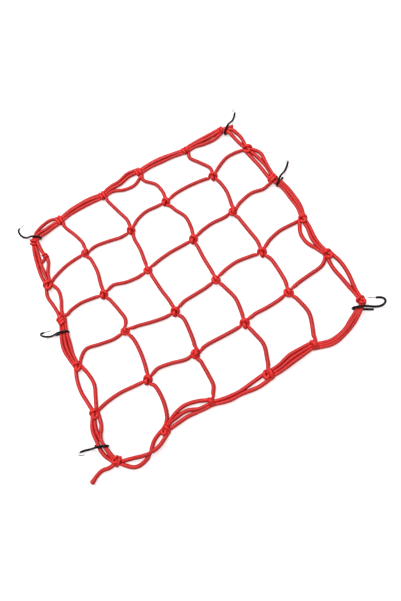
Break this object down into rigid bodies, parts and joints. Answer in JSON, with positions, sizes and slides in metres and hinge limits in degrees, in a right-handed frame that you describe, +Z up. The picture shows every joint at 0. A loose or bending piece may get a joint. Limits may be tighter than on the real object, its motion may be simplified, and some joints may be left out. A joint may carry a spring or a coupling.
{
  "type": "cargo net",
  "caption": "Flat net of knotted red elastic cord with doubled side cords and black coated wire hooks hung on its sides, for holding down luggage.",
  "frame": {"origin": "centre of the outline on the surface that the net lies on", "axes": "+X along the net's top side towards its right side, +Y up its left side towards the top side, +Z up from the surface"},
  "size_m": [0.372, 0.35, 0.0151],
  "materials": {
    "red_elastic_cord": "braided elastic cord, bright red, fine diagonal ribs",
    "black_coating": "glossy black dip coating over steel wire, bare at the tip"
  },
  "bodies": {
    "root": {"net": "red_elastic_cord", "hook_1": "black_coating", "hook_2": "black_coating", "hook_3": "black_coating", "hook_4": "black_coating", "hook_5": "black_coating", "hook_6": "black_coating"}
  },
  "joints": []
}
